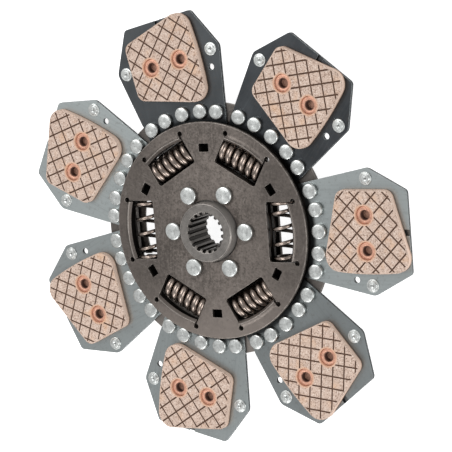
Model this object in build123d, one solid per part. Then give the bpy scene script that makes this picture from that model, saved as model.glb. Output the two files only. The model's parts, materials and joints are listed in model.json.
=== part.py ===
from build123d import *
import os
from math import cos, radians, sin, sqrt, tan

# Clutch disc with seven pad-carrying paddles and a six-spring torsion damper.
# The origin is on the bore axis, in the middle plane of the carrier disc.
# +Z points to the flywheel side and +X lies along one soft damper spring and paddle 3.
# All lengths are in millimetres and all angles in degrees.

# Counts
paddle_count = 7
window_count = 6
spline_teeth = 18

# Carrier disc
carrier_radius = 102.8
carrier_thickness = 3.3
bore_running_clearance = 0.08

# Paddle sheets, two on each paddle, stacked on the front of the carrier disc
sheet_thickness = 1.0
sheet_inner_radius = 87.0
sheet_outer_edge = 173.3
sheet_outer_half_width = 32.5
sheet_widest_radius = 140.5
sheet_widest_half_width = 50.2
sheet_side_lean = 12.06
sheet_outer_corner = 4.0
sheet_widest_corner = 7.0
sheet_step = 0.45
step_margin = 0.3
step_length = 0.9
slot_width = 4.8
slot_depth = 13.0
gauge_hole_radius = 2.6
gauge_hole_offset = 37.8
gauge_hole_reach = 125.2

# Friction pads and their backing plates, the rear ones shorter along the radius
pad_centre_radius = 138.0
pad_left = -33.5
pad_right_bow = 32.0
pad_right = 29.0
front_pad_half_lengths = (22.6, 39.0)
rear_pad_half_lengths = (20.5, 32.0)
pad_corner_left = 7.2
pad_corner_right = 12.0
lining_thickness = 4.3
backing_thickness = 1.2
backing_margin = 0.1
lining_chamfer = 0.4

# Groove lattice pressed into each lining
groove_half_pitch = 7.0
groove_width = 1.3
groove_depth = 0.8
groove_margin = 1.1
groove_rivet_margin = 1.3

# Tubular rivets through each pad pair
pad_rivet_offset = 14.0
pad_rivet_tube_radius = 4.8
pad_rivet_hole_radius = 3.4
pad_rivet_flange_radius = 6.9
pad_rivet_flange_thickness = 0.9
pad_rivet_flare = 0.9
counterbore_depth = 2.4
counterbore_clearance = 0.3

# Small stepped rivets that hold the two sheets of a paddle together
side_rivet_offset = 41.8
side_rivet_reach = 138.9
side_rivet_shank_radius = 2.6
side_rivet_collar_radius = 4.2
side_rivet_head_radius = 5.3
side_rivet_rim_height = 0.8
side_rivet_crown_radius = 3.9
side_rivet_crown_height = 1.5
side_rivet_dimple_radius = 1.1
side_rivet_dimple_depth = 0.7

# Rim rivets, five to a paddle
rim_rivet_circle = 95.5
rim_rivet_angles = (-19.5, -10.4, 0.0, 10.4, 19.5)
rim_rivet_shank_radius = 3.5
rim_rivet_head_radius = 6.3
rim_rivet_head_height = 3.7
rim_rivet_tail_radius = 5.6
rim_rivet_tail_height = 3.0

# Shape of a domed head, as shares of its radius and of its height
dome_rim_height = 0.5
dome_shoulder_radius = 0.93
dome_shoulder_height = 0.87
dome_crown_radius = 0.72

# Damper cover plates
cover_radius = 88.0
cover_thickness = 3.3
cover_bore_clearance = 1.2
cover_edge_chamfer = 0.5
front_space = 6.55
rear_space = 4.85

# Spring windows
window_inner_edge = 52.8
window_corner = 2.0
soft_window_step = 3
stiff_half_length = 20.0
soft_half_length = 23.8
spring_end_clearance = 0.2
lip_edge_radius = 75.8
lip_root_radius = 81.2
lip_slope = 20.0
slit_width = 0.9
relief_hole_radius = 2.1
relief_hole_outset = 0.6
key_hole_radius = 67.2
key_hole_width = 9.0
key_hole_height = 6.6
key_hole_corner = 0.7

# Damper springs
spring_circle = 63.9
spring_outer_radius = 11.8
spring_slot_clearance = 0.4
spring_slot_corner = 0.8
stiff_wire_radius = 2.5
stiff_turns = 5.6
soft_wire_radius = 1.5
soft_turns = 4.0
end_turn_swell = 1.03

# Hub
boss_radius = 24.1
boss_front_height = 8.0
boss_rear_height = 0.6
boss_chamfer = 0.9
flange_radius = 41.5
spline_major_radius = 16.6
spline_minor_radius = 14.2
spline_gap_inner_width = 3.05
spline_gap_outer_width = 2.5
spline_gap_overlap = 1.0
spline_entry_step = 0.7

# Hub rivets, which tie both cover plates to the hub flange
hub_rivet_circle = 33.5
hub_rivet_shank_radius = 4.5
hub_rivet_head_radius = 7.1
hub_rivet_head_height = 3.8

# Friction stack on each side of the carrier disc, inside the windows
ring_inner_margin = 1.4
ring_outer_margin = 1.6
friction_ring_thickness = 2.5
front_thrust_thickness = 1.5
disc_spring_thickness = 1.1

# Small working clearances
rivet_hole_clearance = 0.05

# Levels along the axis, worked out from the sizes above
carrier_top = carrier_thickness / 2
carrier_bottom = -carrier_thickness / 2
paddle_middle = carrier_top + sheet_thickness
paddle_top = paddle_middle + sheet_thickness
stepped_top = paddle_top + sheet_step
backing_top = stepped_top + backing_thickness
lining_top = backing_top + lining_thickness
front_cover_bottom = carrier_top + front_space
front_cover_top = front_cover_bottom + cover_thickness
rear_cover_top = carrier_bottom - rear_space
rear_cover_bottom = rear_cover_top - cover_thickness
hub_front = front_cover_top + boss_front_height
hub_rear = rear_cover_bottom - boss_rear_height
spring_level = (front_cover_bottom + rear_cover_top) / 2

# Radii and angles that follow from the sizes above
step_start = carrier_radius + step_margin
step_end = step_start + step_length
window_pitch = 360 / window_count
paddle_pitch = 360 / paddle_count
counterbore_radius = pad_rivet_flange_radius + counterbore_clearance
ring_inner_radius = flange_radius + ring_inner_margin
ring_outer_radius = window_inner_edge - ring_outer_margin
spring_kinds = ["soft" if index % soft_window_step == 0 else "stiff" for index in range(window_count)]
half_lengths = [soft_half_length if kind == "soft" else stiff_half_length for kind in spring_kinds]
flat_bottom = (Align.CENTER, Align.CENTER, Align.MIN)


def drum(radius, low, high, x=0.0, y=0.0):
    """Upright cylinder between two levels."""
    return Pos(x, y, low) * Cylinder(radius, high - low, align=flat_bottom)


def prism(sketch, low, high):
    """Flat outline raised between two levels."""
    return extrude(Pos(0, 0, low) * sketch, high - low)


def turned(points):
    """Solid of revolution about Z from a closed outline of (radius, level) points."""
    outline = make_face(Plane.XZ * Polyline(*points, close=True))
    return revolve(outline, Axis.Z)


def around(shape, angle):
    """Shape turned about the bore axis."""
    return Rot(0, 0, angle) * shape


def paddle_angle(index):
    """Turn that brings the paddle built along +Y to its place, clockwise from the top."""
    return (2 - index) * paddle_pitch - 90


# Rivets


def domed_rivet(shank_radius, low, high, head_radius, head_height, tail_radius, tail_height):
    """Rivet with a flattened dome at both ends, standing between the two clamped faces."""
    head_top = high + head_height
    head_crown = (head_radius * dome_crown_radius, head_top)
    head_shoulder = (head_radius * dome_shoulder_radius, high + head_height * dome_shoulder_height)
    head_rim = (head_radius, high + head_height * dome_rim_height)
    tail_end = low - tail_height
    tail_crown = (tail_radius * dome_crown_radius, tail_end)
    tail_rim = (tail_radius, low - tail_height * dome_rim_height)
    outline = make_face(
        Plane.XZ
        * (
            Line((0, head_top), head_crown)
            + ThreePointArc(head_crown, head_shoulder, head_rim)
            + Polyline(
                head_rim,
                (head_radius, high),
                (shank_radius, high),
                (shank_radius, low),
                (tail_radius, low),
                tail_rim,
                tail_crown,
                (0, tail_end),
                (0, head_top),
            )
        )
    )
    return revolve(outline, Axis.Z)


def rim_rivet_place(angle):
    """Centre of a rim rivet on the paddle that is built along +Y."""
    return (
        rim_rivet_circle * sin(radians(angle)),
        rim_rivet_circle * cos(radians(angle)),
    )


def rim_rivets():
    rivet = domed_rivet(
        rim_rivet_shank_radius,
        carrier_bottom,
        paddle_top,
        rim_rivet_head_radius,
        rim_rivet_head_height,
        rim_rivet_tail_radius,
        rim_rivet_tail_height,
    )
    rivets = []
    for index in range(paddle_count):
        for angle in rim_rivet_angles:
            rivets.append(around(Pos(*rim_rivet_place(angle), 0) * rivet, paddle_angle(index)))
    return Compound(rivets)


def hub_rivets():
    rivet = domed_rivet(
        hub_rivet_shank_radius,
        rear_cover_bottom,
        front_cover_top,
        hub_rivet_head_radius,
        hub_rivet_head_height,
        hub_rivet_head_radius,
        hub_rivet_head_height,
    )
    places = [around(Pos(hub_rivet_circle, 0, 0) * rivet, window_pitch * n) for n in range(window_count)]
    return Compound(places)


def side_rivet():
    """Stepped rivet with a collar that keeps the two sheets apart."""
    half_gap = sheet_step
    seat = half_gap + sheet_thickness
    rim = seat + side_rivet_rim_height
    crown = seat + side_rivet_crown_height
    upper = [
        (side_rivet_collar_radius, 0),
        (side_rivet_collar_radius, half_gap),
        (side_rivet_shank_radius, half_gap),
        (side_rivet_shank_radius, seat),
        (side_rivet_head_radius, seat),
        (side_rivet_head_radius, rim),
        (side_rivet_crown_radius, crown),
        (side_rivet_dimple_radius, crown),
        (0, crown - side_rivet_dimple_depth),
    ]
    lower = [(radius, -level) for radius, level in reversed(upper[1:])]
    return Pos(0, 0, paddle_middle) * turned(upper + lower)


def side_rivets():
    rivets = []
    for index in range(paddle_count):
        for side in (-1, 1):
            place = Pos(side * side_rivet_offset, side_rivet_reach, 0)
            rivets.append(around(place * side_rivet(), paddle_angle(index)))
    return Compound(rivets)


def pad_rivet():
    """Tubular rivet with a flared flange sunk into the lining at each end."""
    seat = lining_top - counterbore_depth - paddle_middle
    lip = seat + pad_rivet_flange_thickness
    upper = [
        (pad_rivet_hole_radius, seat - pad_rivet_flare),
        (pad_rivet_hole_radius + pad_rivet_flare, lip),
        (pad_rivet_flange_radius - pad_rivet_flare, lip),
        (pad_rivet_flange_radius, seat + pad_rivet_flange_thickness / 2),
        (pad_rivet_flange_radius, seat),
        (pad_rivet_tube_radius, seat),
    ]
    lower = [(radius, -level) for radius, level in reversed(upper)]
    return Pos(0, 0, paddle_middle) * turned(upper + lower)


def pad_rivets():
    rivets = []
    for index in range(paddle_count):
        for side in (-1, 1):
            place = Pos(side * pad_rivet_offset, pad_centre_radius, 0)
            rivets.append(around(place * pad_rivet(), paddle_angle(index)))
    return Compound(rivets)


# Paddles


def sheet_outline(slotted):
    """Outline of one paddle, with its rounded corners, before it is stepped."""
    root_level = sheet_inner_radius * cos(radians(180 / paddle_count))
    drop = sheet_widest_radius - root_level
    root_half_width = sheet_widest_half_width - drop * tan(radians(sheet_side_lean))
    outer = [
        (-sheet_outer_half_width, sheet_outer_edge),
        (sheet_outer_half_width, sheet_outer_edge),
    ]
    widest = [
        (sheet_widest_half_width, sheet_widest_radius),
        (-sheet_widest_half_width, sheet_widest_radius),
    ]
    root = [(root_half_width, root_level), (-root_half_width, root_level)]
    order = [outer[0], outer[1], widest[0], root[0], root[1], widest[1]]
    face = make_face(Polyline(*order, close=True))
    by_level = face.vertices().sort_by(Axis.Y)
    face = fillet(by_level[2:4], sheet_widest_corner)
    face = fillet(face.vertices().sort_by(Axis.Y)[-2:], sheet_outer_corner)
    face -= Circle(sheet_inner_radius)
    if slotted:
        slot_end = Pos(0, sheet_outer_edge - slot_depth + slot_width / 2)
        face -= slot_end * Circle(slot_width / 2)
        face -= slot_end * Rectangle(slot_width, slot_depth, align=(Align.CENTER, Align.MIN))
    face -= Pos(gauge_hole_offset, gauge_hole_reach) * Circle(gauge_hole_radius)
    for side in (-1, 1):
        face -= Pos(side * side_rivet_offset, side_rivet_reach) * Circle(
            side_rivet_shank_radius + rivet_hole_clearance
        )
        face -= Pos(side * pad_rivet_offset, pad_centre_radius) * Circle(
            pad_rivet_tube_radius + rivet_hole_clearance
        )
    for angle in rim_rivet_angles:
        face -= Pos(*rim_rivet_place(angle)) * Circle(rim_rivet_shank_radius + rivet_hole_clearance)
    return face


def paddle_sheet(slotted):
    """Upper sheet of a paddle: flat at the rivets, stepped up outside the carrier's edge."""
    reach = sqrt(sheet_outer_edge**2 + sheet_widest_half_width**2)
    web = turned(
        [
            (sheet_inner_radius - step_margin, paddle_middle),
            (step_start, paddle_middle),
            (step_end, paddle_middle + sheet_step),
            (reach, paddle_middle + sheet_step),
            (reach, stepped_top),
            (step_end, stepped_top),
            (step_start, paddle_top),
            (sheet_inner_radius - step_margin, paddle_top),
        ]
    )
    outline = sheet_outline(slotted)
    return web & prism(outline, paddle_middle - step_margin, stepped_top + step_margin)


def pad_outline(half_lengths):
    """Outline of a pad: three straight sides, a bowed side and four rounded corners."""
    left_half, right_half = half_lengths
    sides = (
        Line((pad_left, -left_half), (pad_left, left_half))
        + Line((pad_left, left_half), (pad_right, right_half))
        + ThreePointArc((pad_right, right_half), (pad_right_bow, 0), (pad_right, -right_half))
        + Line((pad_right, -right_half), (pad_left, -left_half))
    )
    face = make_face(sides)
    face = fillet(face.vertices().sort_by(Axis.X)[:2], pad_corner_left)
    right_corners = [corner for corner in face.vertices() if corner.X > 0 and abs(corner.Y) > left_half]
    return fillet(right_corners, pad_corner_right)


def groove_pattern(outline):
    """Diagonal grooves, kept inside the pad's margin and clear of the two rivets."""
    strips = Sketch()
    reach = 2 * (front_pad_half_lengths[1] + pad_right_bow)
    lines = int(reach / (2 * groove_half_pitch)) + 1
    for turn in (-45, 45):
        for number in range(-lines, lines):
            level = (2 * number + 1) * groove_half_pitch
            strips += Pos(0, level) * Rot(0, 0, turn) * Rectangle(reach, groove_width)
    strips &= offset(outline, -groove_margin)
    for side in (-1, 1):
        strips -= Pos(side * pad_rivet_offset, 0) * Circle(counterbore_radius + groove_rivet_margin)
    return strips


def pad_pieces(half_lengths):
    """Lining and backing plate of one pad, built along +Y on the front of its paddle."""
    outline = pad_outline(half_lengths)
    grooves = groove_pattern(outline)
    lining = prism(outline, backing_top, lining_top)
    lining = chamfer(lining.faces().sort_by(Axis.Z)[-1].edges(), lining_chamfer)
    lining -= prism(grooves, lining_top - groove_depth, lining_top)
    backing = prism(offset(outline, backing_margin), stepped_top, backing_top)
    for side in (-1, 1):
        centre = side * pad_rivet_offset
        tube_hole = drum(pad_rivet_tube_radius + rivet_hole_clearance, stepped_top, lining_top, centre)
        lining -= tube_hole
        backing -= tube_hole
        lining -= drum(counterbore_radius, lining_top - counterbore_depth, lining_top, centre)
    place = Pos(0, pad_centre_radius, 0)
    return place * lining, place * backing


# Carrier disc and damper


def carrier_disc():
    disc = drum(carrier_radius, carrier_bottom, carrier_top)
    disc -= drum(flange_radius + bore_running_clearance, carrier_bottom, carrier_top)
    slot_half = spring_outer_radius + spring_slot_clearance
    for index, half_length in enumerate(half_lengths):
        size = (2 * slot_half, 2 * (half_length + spring_end_clearance))
        window = prism(RectangleRounded(*size, spring_slot_corner), carrier_bottom, carrier_top)
        disc -= around(Pos(spring_circle, 0, 0) * window, window_pitch * index)
    for index in range(paddle_count):
        for angle in rim_rivet_angles:
            hole = drum(
                rim_rivet_shank_radius + rivet_hole_clearance,
                carrier_bottom,
                carrier_top,
                *rim_rivet_place(angle),
            )
            disc -= around(hole, paddle_angle(index))
    return disc


def relief_hole_places(half_width):
    """Centres of the two round holes where a window's sides meet the bend of its lip."""
    hole_side = half_width + relief_hole_outset
    hole_reach = sqrt(lip_root_radius**2 - hole_side**2)
    return [(hole_reach, -hole_side), (hole_reach, hole_side)]


def window_opening(half_width):
    """Window along +X, open out to where its lip bends, with its relief holes."""
    size = (lip_root_radius, 2 * half_width)
    opening = Pos(window_inner_edge, 0) * Rectangle(*size, align=(Align.MIN, Align.CENTER))
    opening = fillet(opening.vertices().group_by(Axis.X)[0], window_corner)
    opening &= Circle(lip_root_radius)
    for place in relief_hole_places(half_width):
        opening += Pos(*place) * Circle(relief_hole_radius)
    return opening


def window_lip(half_width):
    """Tongue along +X, bent up over its spring."""
    lean = radians(lip_slope)
    edge_top = cover_thickness + (lip_root_radius - lip_edge_radius) * tan(lean)
    lip_ring = turned(
        [
            (lip_root_radius, 0),
            (lip_root_radius, cover_thickness),
            (lip_edge_radius, edge_top),
            (lip_edge_radius - cover_thickness * sin(lean), edge_top - cover_thickness * cos(lean)),
        ]
    )
    cut_height = 2 * edge_top
    lip = lip_ring & (
        Pos(lip_root_radius, 0, 0) * Box(lip_root_radius, 2 * (half_width - slit_width), 2 * cut_height)
    )
    for x, y in relief_hole_places(half_width):
        lip -= drum(relief_hole_radius, -cut_height, cut_height, x, y)
    return lip


def cover_plate():
    """Damper cover seen from outside: underside at zero, lips bent up over the springs."""
    face = Circle(cover_radius) - Circle(boss_radius + cover_bore_clearance)
    lips = []
    for index, half_length in enumerate(half_lengths):
        half_width = half_length + spring_end_clearance
        turn = Rot(0, 0, window_pitch * index)
        face -= turn * window_opening(half_width)
        face -= turn * Pos(hub_rivet_circle, 0) * Circle(hub_rivet_shank_radius + rivet_hole_clearance)
        key_turn = Rot(0, 0, window_pitch * (index + 0.5))
        face -= key_turn * Pos(key_hole_radius, 0) * RectangleRounded(
            key_hole_height, key_hole_width, key_hole_corner
        )
        lips.append(turn * window_lip(half_width))
    plate = prism(face, 0, cover_thickness)
    upper_edges = plate.faces().sort_by(Axis.Z)[-1].outer_wire().edges()
    plate = chamfer(upper_edges, cover_edge_chamfer)
    return plate.fuse(*lips)


def spline_gaps():
    """The space between the hub's teeth, as one outline."""
    gaps = Circle(spline_minor_radius)
    gap_start = spline_minor_radius - spline_gap_overlap
    gap_end = spline_major_radius + spline_gap_overlap
    gap = make_face(
        Polyline(
            (gap_start, -spline_gap_inner_width / 2),
            (gap_end, -spline_gap_outer_width / 2),
            (gap_end, spline_gap_outer_width / 2),
            (gap_start, spline_gap_inner_width / 2),
            close=True,
        )
    )
    for tooth in range(spline_teeth):
        gaps += Rot(0, 0, tooth * 360 / spline_teeth) * gap
    return gaps & Circle(spline_major_radius)


def splined_hub():
    entry_radius = spline_major_radius + spline_entry_step
    entry_depth = entry_radius - spline_minor_radius
    body = turned(
        [
            (spline_minor_radius, hub_front - entry_depth),
            (entry_radius, hub_front),
            (boss_radius - boss_chamfer, hub_front),
            (boss_radius, hub_front - boss_chamfer),
            (boss_radius, front_cover_bottom),
            (flange_radius, front_cover_bottom),
            (flange_radius, rear_cover_top),
            (boss_radius, rear_cover_top),
            (boss_radius, hub_rear),
            (entry_radius, hub_rear),
            (spline_minor_radius, hub_rear + entry_depth),
        ]
    )
    body -= prism(spline_gaps(), hub_rear, hub_front)
    for index in range(window_count):
        hole = drum(
            hub_rivet_shank_radius + rivet_hole_clearance,
            rear_cover_top,
            front_cover_bottom,
            hub_rivet_circle,
        )
        body -= around(hole, window_pitch * index)
    return body


def coil_spring(half_length, wire_radius, turns):
    """Right-hand coil spring along the tangent at +X, its end turns closed and ground flat."""
    mean_radius = spring_outer_radius - wire_radius
    coil_length = 2 * half_length - wire_radius
    path = Helix(coil_length / turns, coil_length, mean_radius)
    section = Plane(path @ 0, z_dir=path % 0) * Circle(wire_radius)
    coil = Pos(0, 0, -coil_length / 2) * sweep(section, path, is_frenet=True)
    end_turn = Torus(mean_radius, wire_radius * end_turn_swell)
    for side in (-1, 1):
        coil += Pos(0, 0, side * coil_length / 2) * end_turn
    coil &= Cylinder(spring_outer_radius + wire_radius, 2 * half_length)
    return Pos(spring_circle, 0, spring_level) * Rot(90, 0, 0) * coil


def flat_ring(low, high):
    """Washer in the space between the hub flange and the spring windows."""
    return drum(ring_outer_radius, low, high) - drum(ring_inner_radius, low, high)


def disc_spring():
    """Conical spring washer that presses the front friction ring on the carrier disc."""
    low = carrier_top + friction_ring_thickness + front_thrust_thickness
    high = front_cover_bottom
    return turned(
        [
            (ring_inner_radius, low),
            (ring_outer_radius, high - disc_spring_thickness),
            (ring_outer_radius, high),
            (ring_inner_radius, low + disc_spring_thickness),
        ]
    )


# All pieces by name

pieces = {
    "splined_hub": splined_hub(),
    "carrier_disc": carrier_disc(),
    "hub_rivets": hub_rivets(),
    "rim_rivets": rim_rivets(),
    "side_rivets": side_rivets(),
    "pad_rivets": pad_rivets(),
}

cover = cover_plate()
pieces["front_cover_plate"] = Pos(0, 0, front_cover_bottom) * cover
pieces["rear_cover_plate"] = Pos(0, 0, rear_cover_top) * mirror(cover, about=Plane.XY)

friction_top = carrier_top + friction_ring_thickness
friction_bottom = carrier_bottom - friction_ring_thickness
pieces["front_friction_ring"] = flat_ring(carrier_top, friction_top)
pieces["front_thrust_ring"] = flat_ring(friction_top, friction_top + front_thrust_thickness)
pieces["disc_spring"] = disc_spring()
pieces["rear_friction_ring"] = flat_ring(friction_bottom, carrier_bottom)
pieces["rear_thrust_ring"] = flat_ring(rear_cover_top, friction_bottom)

springs = {
    "stiff": coil_spring(stiff_half_length, stiff_wire_radius, stiff_turns),
    "soft": coil_spring(soft_half_length, soft_wire_radius, soft_turns),
}
for index, kind in enumerate(spring_kinds):
    number = spring_kinds[: index + 1].count(kind)
    pieces[f"{kind}_spring_{number}"] = around(springs[kind], window_pitch * index)

across_paddle = Plane.XY.offset(paddle_middle)
front_sheet = paddle_sheet(slotted=True)
rear_sheet = mirror(paddle_sheet(slotted=False), about=across_paddle)
front_lining, front_backing = pad_pieces(front_pad_half_lengths)
rear_lining, rear_backing = [
    mirror(piece, about=across_paddle) for piece in pad_pieces(rear_pad_half_lengths)
]
for index in range(paddle_count):
    number = index + 1
    turn = paddle_angle(index)
    pieces[f"front_sheet_{number}"] = around(front_sheet, turn)
    pieces[f"front_pad_{number}"] = around(front_lining, turn)
    pieces[f"rear_sheet_{number}"] = around(rear_sheet, turn)
    pieces[f"rear_pad_{number}"] = around(rear_lining, turn)
turns = [paddle_angle(index) for index in range(paddle_count)]
pieces["front_backing_plates"] = Compound([around(front_backing, turn) for turn in turns])
pieces["rear_backing_plates"] = Compound([around(rear_backing, turn) for turn in turns])

os.makedirs("parts", exist_ok=True)
for name, shape in pieces.items():
    export_step(shape, f"parts/{name}.step")
    print(name, "written")
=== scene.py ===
import json
import math

import bmesh
import bpy
from mathutils import Matrix, Vector


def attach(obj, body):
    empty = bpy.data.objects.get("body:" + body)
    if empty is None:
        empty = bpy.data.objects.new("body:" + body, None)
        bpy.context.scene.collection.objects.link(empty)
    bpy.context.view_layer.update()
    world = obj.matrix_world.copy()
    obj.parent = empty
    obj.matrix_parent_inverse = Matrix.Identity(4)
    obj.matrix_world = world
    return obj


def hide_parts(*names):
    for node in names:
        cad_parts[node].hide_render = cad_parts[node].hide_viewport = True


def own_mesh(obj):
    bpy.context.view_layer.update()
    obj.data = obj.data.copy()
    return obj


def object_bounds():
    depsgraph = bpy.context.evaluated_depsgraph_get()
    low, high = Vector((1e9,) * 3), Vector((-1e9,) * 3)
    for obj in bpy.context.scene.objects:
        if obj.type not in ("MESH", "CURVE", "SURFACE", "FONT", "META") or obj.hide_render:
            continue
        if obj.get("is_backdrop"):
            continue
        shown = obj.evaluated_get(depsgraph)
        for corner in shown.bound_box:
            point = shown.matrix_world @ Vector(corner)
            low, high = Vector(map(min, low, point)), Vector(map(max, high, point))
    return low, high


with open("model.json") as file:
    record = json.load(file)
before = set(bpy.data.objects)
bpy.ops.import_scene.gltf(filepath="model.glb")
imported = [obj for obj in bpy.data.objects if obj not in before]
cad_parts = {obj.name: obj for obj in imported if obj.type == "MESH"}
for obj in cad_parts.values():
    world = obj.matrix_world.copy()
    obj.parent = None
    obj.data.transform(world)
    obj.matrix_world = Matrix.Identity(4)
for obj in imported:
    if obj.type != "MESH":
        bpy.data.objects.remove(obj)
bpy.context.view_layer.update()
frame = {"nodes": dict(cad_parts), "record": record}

bl_info = {
    "name": "Paddle clutch disc",
    "version": (1, 0, 0),
    "blender": (4, 5, 0),
    "location": "View3D > Sidebar > Clutch disc",
    "description": "Dresses a seven-paddle clutch disc and its torsion damper",
    "category": "Object",
}

MM = 0.001
SIDES = ("front", "rear")

# Where each CAD node rides
HOME = {
    node: body
    for body, nodes in frame["record"]["behaviour"]["bodies"].items()
    for node in nodes
}

# Layout of the real disc, in millimetres and degrees
PADDLES = 7
WINDOWS = 6
PADDLE_PITCH = 360 / PADDLES
WINDOW_PITCH = 360 / WINDOWS
PADDLE_MIDDLE = 2.65
SHEET_TOP = 3.65
CARRIER_BOTTOM = -1.65
LINING_TOP = 9.6
RIVET_RECESS = 2.4
COVER_TOP = 11.5
COVER_REAR = -9.8
COVER_INSIDE = 8.2
COVER_REAR_INSIDE = -6.5
COVER_RADIUS = 88.0
BORE_RADIUS = 16.6
LAND_RADIUS = 14.2
HUB_TOP = 19.5
HUB_CIRCLE = 33.5
RIM_CIRCLE = 95.5
RIM_ANGLES = (-19.5, -10.4, 0.0, 10.4, 19.5)
SIDE_OFFSET = 41.8
SIDE_REACH = 138.9
PAD_OFFSET = 14.0
PAD_REACH = 138.0

# Damper springs: height and circle of their axes, and for each kind its half length and the
# angles of its windows
SPRING_LEVEL = 0.85
SPRING_CIRCLE = 63.9
SPRINGS = {"stiff": (20.0, (60, 120, 240, 300)), "soft": (23.8, (0, 180))}
NESTED_GAP = 0.4
STEPS_PER_TURN = 44
SPRING_SIZES = ("Half length", "Mean radius", "Wire radius", "Turns", "Closed turns", "Hand")

# Radius and height above the springs' axes of a lip's two free corners: in CAD, and as dressed
LIP_CORNERS = (((75.8, 12.62), (77.6, 13.0)), ((74.67, 9.51), (75.4, 10.5)))
LIP_MATCH = 0.15
# In metres: radii where the painted shade inside the damper ends and where it begins again, as
# the lips between them stand in the light, and heights above the axes where the painted
# highlights on the lips' free edges begin
SHADE_ENDS = (75.0 * MM, 75.4 * MM)
SHADE_BEGINS = (77.8 * MM, 78.2 * MM)
LIP_HIGHLIGHT = (12.2 * MM, 12.6 * MM)

# Painted reflection on each paddle's strips, clockwise from the top: 0 is the darkest and 1 the
# lightest, and the rear strips get a share of it
PADDLE_REFLECTION_TONES = (0.06, 0.0, 0.86, 0.48, 0.74, 0.8, 1.0)
REAR_REFLECTION_TONE = 0.35

# The photograph's own camera, found from the rivet centres, in metres
CAMERA_LENS = 169.47
CAMERA_SENSOR = 36.0
CAMERA_PLACE = (0.89625, 0.27370, 1.42497)
CAMERA_RIGHT = (0.8527, -0.0819, -0.5160)
CAMERA_BACK = (0.5222, 0.1596, 0.8377)

# Studio: each lamp's name, place and target, its size in metres and its power in watts
LAMPS = (
    ("key", (-0.9, 0.9, 1.9), (0.0, 0.0, 0.0), 1.3, 19.0),
    ("fill", (1.5, -0.6, 1.3), (0.0, 0.0, 0.0), 1.2, 14.0),
    ("side", (-0.35, -0.95, 0.9), (-0.03, -0.08, 0.0), 0.6, 4.5),
)
WORLD_LIGHT = 0.55
FLOOR_REACH = 5.0
FLOOR_GLOW = 0.86


def linear(hex_colour):
    """Linear RGB of an sRGB hex colour."""
    channels = [int(hex_colour[start : start + 2], 16) / 255 for start in (1, 3, 5)]
    return tuple(c / 12.92 if c <= 0.04045 else ((c + 0.055) / 1.055) ** 2.4 for c in channels)


def per_mm(size):
    """Scale of a pattern on Object coordinates whose features are that many millimetres."""
    return 1 / (size * MM)


# Sizes and colours that a user would change


def length(name, description, size):
    return bpy.props.FloatProperty(
        name=name, description=description, default=size * MM, unit="LENGTH", precision=5
    )


def colour(name, description, shown):
    told = {"name": name, "description": description, "default": linear(shown)}
    return bpy.props.FloatVectorProperty(**told, size=3, min=0.0, max=1.0, subtype="COLOR")


class DamperSettings(bpy.types.PropertyGroup):
    plate_colour: colour("Plate", "Phosphated cover plates", "#6a635e")
    worn_colour: colour("Worn edge", "Bare steel where the phosphate is rubbed off", "#a39c96")
    # Inside: painted shade between the covers, and with old grease in the hub's spline grooves
    shade_colour: colour("Inside", "Greased steel in the shade between the covers", "#1f1b18")
    hub_colour: colour("Hub", "Turned and hardened hub steel", "#827e7a")
    carrier_colour: colour("Carrier", "Oiled carrier disc", "#67625e")
    wire_colour: colour("Spring wire", "Oil-tempered spring wire", "#988b82")
    edge: length("Plate edge", "Width of the eased edge of the cover plates", 0.3)
    inner_edge: length("Inner edge", "Width of the eased edge of the hub and carrier", 0.22)
    stiff_wire: length("Stiff wire", "Wire radius of the four stiff springs", 2.75)
    inner_wire: length("Inner wire", "Wire radius of the springs nested in the stiff ones", 1.5)
    soft_wire: length("Soft wire", "Wire radius of the two soft springs", 1.5)
    spring_radius: length("Spring radius", "Outer radius of every damper spring", 11.3)


class PaddleSettings(bpy.types.PropertyGroup):
    # The strip colours are the dark and light ends of a painted reflection, mixed per paddle
    dark_reflection_colour: colour("Dark strip", "Spring-steel strip with its dark rolling skin", "#404346")
    light_reflection_colour: colour("Light strip", "Spring-steel strip, ground clean", "#b4bbbb")
    lining_colour: colour("Lining", "Sintered bronze lining", "#cbb4a5")
    grit_colour: colour("Lining grit", "Dark grit in the lining", "#7f6557")
    groove_colour: colour("Groove", "Shaded floor of the grooves", "#5e473a")
    copper_colour: colour("Copper", "Copper of the tubular rivets", "#d9a68e")
    backing_colour: colour("Backing", "Backing plates browned in the sintering oven", "#a58a78")
    edge: length("Sheet edge", "Width of the eased edge of the paddle sheets", 0.16)
    backing_edge: length("Backing edge", "Width of the eased edge of the backing plates", 0.15)


class RivetSettings(bpy.types.PropertyGroup):
    zinc_colour: colour("Zinc", "Bright zinc plating", "#e5e8e6")
    seed: bpy.props.IntProperty(name="Seed", description="Random turn of each rivet", default=7)
    lean: bpy.props.FloatProperty(
        name="Lean", description="Largest random lean", default=math.radians(1.2), unit="ROTATION"
    )


# Node trees


def add(tree, kind, inputs=(), **settings):
    """Adds a node with its settings and gives its outputs. Its inputs come in order or by name,
    each a value or the output that feeds it."""
    node = tree.nodes.new(kind)
    for name, value in settings.items():
        setattr(node, name, value)
    for socket, value in inputs.items() if isinstance(inputs, dict) else enumerate(inputs):
        if isinstance(value, bpy.types.NodeSocket):
            tree.links.new(value, node.inputs[socket])
        else:
            node.inputs[socket].default_value = value
    return node.outputs


SIGNS = {"+": "ADD", "-": "SUBTRACT", "*": "MULTIPLY", "/": "DIVIDE"}


def worked_out(tree, rule):
    """The output that a rule gives. A rule is a number or an output as it is, or a sum such as
    (rule, "*", rule) or ("MAXIMUM", rule, rule), or (rule, low, high) for a rise from 0 to 1
    between low and high, with two more numbers if it rises from and to other values."""
    if not isinstance(rule, tuple):
        return rule
    if isinstance(rule[1], str):
        rule = (SIGNS[rule[1]], rule[0], rule[2])
    if isinstance(rule[0], str):
        values = [worked_out(tree, part) for part in rule[1:]]
        return add(tree, "ShaderNodeMath", values, operation=rule[0])["Value"]
    return add(tree, "ShaderNodeMapRange", [worked_out(tree, rule[0]), *rule[1:]])["Result"]


# Materials


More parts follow.
